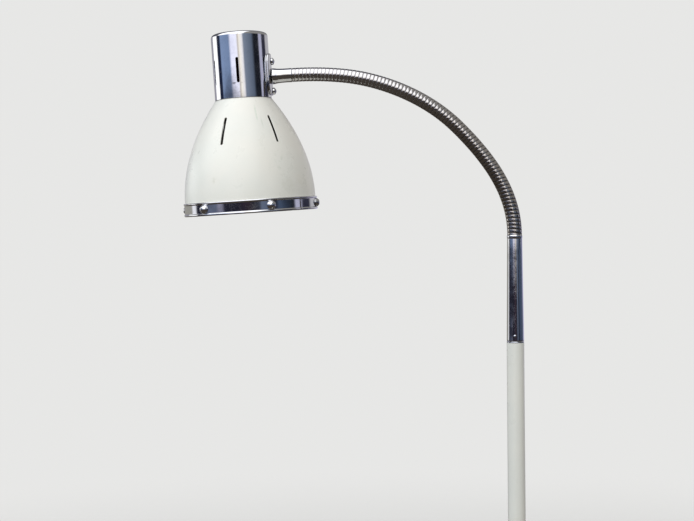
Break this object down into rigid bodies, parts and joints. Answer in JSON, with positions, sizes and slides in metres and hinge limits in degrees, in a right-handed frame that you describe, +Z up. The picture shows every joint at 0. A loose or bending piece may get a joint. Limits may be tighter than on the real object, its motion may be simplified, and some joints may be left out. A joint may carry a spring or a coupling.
{
  "type": "adjustable arm floor lamp",
  "caption": "Floor lamp with a weighted round foot, a slim pole, a bendable neck that swivels on it, and a slotted bell shade with a bright rim band.",
  "frame": {"origin": "centre of the foot's underside, on the floor, on the pole's axis", "axes": "+Z up along the pole, -X towards the head along the neck's bend, -Y towards the front"},
  "size_m": [0.5328, 0.29, 1.4465],
  "materials": {
    "enamel": "gloss",
    "chrome": "polished",
    "neck_chrome": "gloss",
    "steel": "satin",
    "cast_iron": "matte",
    "brass": "satin",
    "bakelite": "gloss",
    "rubber": "matte",
    "felt": "matte",
    "bulb_glass": "satin",
    "lead": "matte"
  },
  "bodies": {
    "stand": {"base_felt": "felt", "base_weight": "cast_iron", "base_cover": "enamel", "cable_bush": "rubber", "foot_washer": "steel", "foot_nut": "steel", "pole_stud": "steel", "pole_plug": "steel", "base_collar": "chrome", "pole": "enamel", "pole_top_bush": "steel", "pole_lead": "lead"},
    "arm_base": {"sleeve_spigot": "steel", "lower_sleeve": "chrome", "sleeve_grub_screw": "steel", "neck_root_link": "neck_chrome"},
    "link_01": {"gooseneck_link_01": "neck_chrome"},
    "link_02": {"gooseneck_link_02": "neck_chrome"},
    "link_03": {"gooseneck_link_03": "neck_chrome"},
    "link_04": {"gooseneck_link_04": "neck_chrome"},
    "link_05": {"gooseneck_link_05": "neck_chrome"},
    "link_06": {"gooseneck_link_06": "neck_chrome"},
    "link_07": {"gooseneck_link_07": "neck_chrome"},
    "link_08": {"gooseneck_link_08": "neck_chrome"},
    "link_09": {"gooseneck_link_09": "neck_chrome"},
    "link_10": {"gooseneck_link_10": "neck_chrome"},
    "link_11": {"gooseneck_link_11": "neck_chrome"},
    "link_12": {"gooseneck_link_12": "neck_chrome", "neck_ferrule": "chrome", "neck_nipple": "steel", "neck_washer": "steel", "neck_locknut": "steel"},
    "head": {"saddle_plate": "chrome", "saddle_screw_lower": "chrome", "saddle_screw_upper": "chrome", "holder_bracket": "steel", "holder_screw": "steel", "socket_housing": "chrome", "shade": "enamel", "shade_ring": "bakelite", "lampholder_body": "bakelite", "lampholder_shell": "brass", "lampholder_contact": "brass", "bulb_glass": "bulb_glass", "bulb_cap": "brass", "rim_ring": "chrome", "rim_screw_1": "chrome", "rim_screw_2": "chrome", "rim_screw_3": "chrome", "rim_screw_4": "chrome", "rim_screw_5": "chrome", "rim_screw_6": "chrome", "head_lead": "lead"}
  },
  "joints": [
    {"name": "arm_swivel", "type": "hinge", "parent": "stand", "child": "arm_base", "pos_m": [0, 0, 1.09], "axis": [0, 0, 1], "range_deg": [-165, 165]},
    {"name": "neck_lower_bend", "type": "hinge", "parent": "arm_base", "child": "link_01", "pos_m": [0, 0, 1.22658], "axis": [0, -1, 0], "range_deg": [-15, 15]},
    {"name": "neck_side_bend", "type": "hinge", "parent": "link_01", "child": "link_02", "pos_m": [-0.00681, 0, 1.25494], "axis": [0.9426, 0, 0.3338], "range_deg": [-10, 10]},
    {"name": "neck_bend_03", "type": "hinge", "parent": "link_02", "child": "link_03", "pos_m": [-0.01937, 0, 1.28127], "axis": [0, -1, 0], "range_deg": [-15, 15]},
    {"name": "neck_side_bend_04", "type": "hinge", "parent": "link_03", "child": "link_04", "pos_m": [-0.0361, 0, 1.30516], "axis": [0.788, 0, 0.6157], "range_deg": [-10, 10]},
    {"name": "neck_bend_05", "type": "hinge", "parent": "link_04", "child": "link_05", "pos_m": [-0.05523, 0, 1.32717], "axis": [0, -1, 0], "range_deg": [-15, 15]},
    {"name": "neck_side_bend_06", "type": "hinge", "parent": "link_05", "child": "link_06", "pos_m": [-0.07603, 0, 1.34762], "axis": [0.6428, 0, 0.766], "range_deg": [-10, 10]},
    {"name": "neck_upper_bend", "type": "hinge", "parent": "link_06", "child": "link_07", "pos_m": [-0.09978, 0, 1.36455], "axis": [0, -1, 0], "range_deg": [-15, 15]},
    {"name": "neck_side_bend_08", "type": "hinge", "parent": "link_07", "child": "link_08", "pos_m": [-0.12565, 0, 1.37802], "axis": [0.4067, 0, 0.9135], "range_deg": [-10, 10]},
    {"name": "neck_bend_09", "type": "hinge", "parent": "link_08", "child": "link_09", "pos_m": [-0.15297, 0, 1.38824], "axis": [0, -1, 0], "range_deg": [-15, 15]},
    {"name": "neck_side_bend_10", "type": "hinge", "parent": "link_09", "child": "link_10", "pos_m": [-0.18133, 0, 1.39505], "axis": [0.1693, 0, 0.9856], "range_deg": [-10, 10]},
    {"name": "neck_bend_11", "type": "hinge", "parent": "link_10", "child": "link_11", "pos_m": [-0.21034, 0, 1.39809], "axis": [0, -1, 0], "range_deg": [-15, 15]},
    {"name": "neck_side_bend_12", "type": "hinge", "parent": "link_11", "child": "link_12", "pos_m": [-0.2395, 0, 1.3986], "axis": [-0.0201, 0, 0.9998], "range_deg": [-10, 10]},
    {"name": "head_swivel", "type": "hinge", "parent": "link_12", "child": "head", "pos_m": [-0.31206, 0, 1.39442], "axis": [0.9983, 0, 0.0576], "range_deg": [-165, 165]}
  ],
  "couplings": [
    {"joint": "neck_bend_03", "follows": "neck_lower_bend", "ratio": 1},
    {"joint": "neck_side_bend_04", "follows": "neck_side_bend", "ratio": 1},
    {"joint": "neck_bend_05", "follows": "neck_lower_bend", "ratio": 1},
    {"joint": "neck_side_bend_06", "follows": "neck_side_bend", "ratio": 1},
    {"joint": "neck_side_bend_08", "follows": "neck_side_bend", "ratio": 1},
    {"joint": "neck_bend_09", "follows": "neck_upper_bend", "ratio": 1},
    {"joint": "neck_side_bend_10", "follows": "neck_side_bend", "ratio": 1},
    {"joint": "neck_bend_11", "follows": "neck_upper_bend", "ratio": 1},
    {"joint": "neck_side_bend_12", "follows": "neck_side_bend", "ratio": 1}
  ]
}
